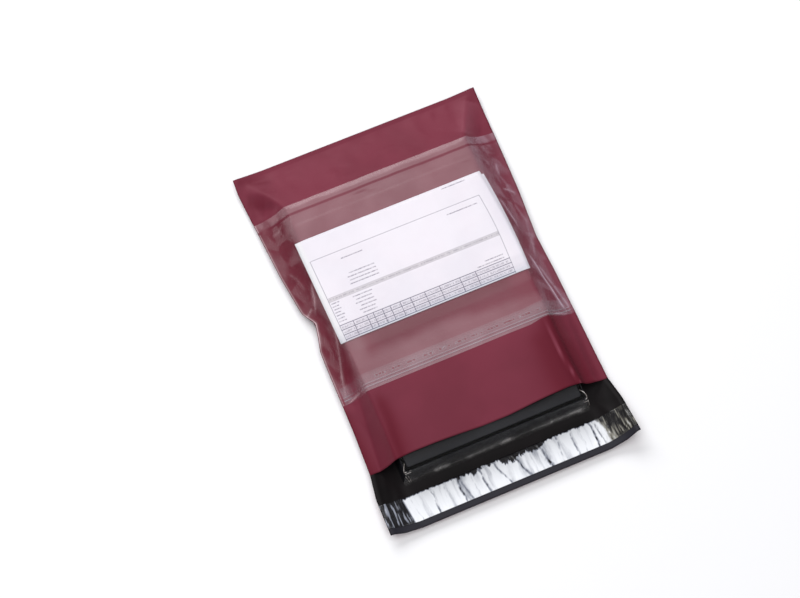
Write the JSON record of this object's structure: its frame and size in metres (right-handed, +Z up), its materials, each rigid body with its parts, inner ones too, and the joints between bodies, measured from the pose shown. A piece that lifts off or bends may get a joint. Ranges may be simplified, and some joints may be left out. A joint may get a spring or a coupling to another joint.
{
  "type": "poly mailer bag",
  "caption": "Open poly mailer bag lying flat, with a clear document pouch holding a folded sheet and a boxed item at its mouth.",
  "frame": {"origin": "on the surface the bag lies on, under the middle of its bounding box", "axes": "+X across the bag, +Y towards the closed end, +Z up from the back panel to the front panel"},
  "size_m": [0.275, 0.421, 0.0277],
  "materials": {
    "bag_film": "soft gloss maroon film outside, black inside",
    "clear_film": "clear film, slightly hazy",
    "pouch_liner": "clear release tape with plain pale marks",
    "adhesive": "clear pressure-sensitive adhesive",
    "flap_liner": "glossy clear release liner, creased",
    "paper": "white office paper with plain ruled fields",
    "black_carton": "black carton under glossy clear shrink film"
  },
  "bodies": {
    "root": {"bag_film": "bag_film", "pouch_film": "clear_film", "pouch_adhesive": "adhesive", "pouch_liner": "pouch_liner", "flap_adhesive": "adhesive", "flap_liner": "flap_liner", "document": "paper", "boxed_item": "black_carton"}
  },
  "joints": []
}
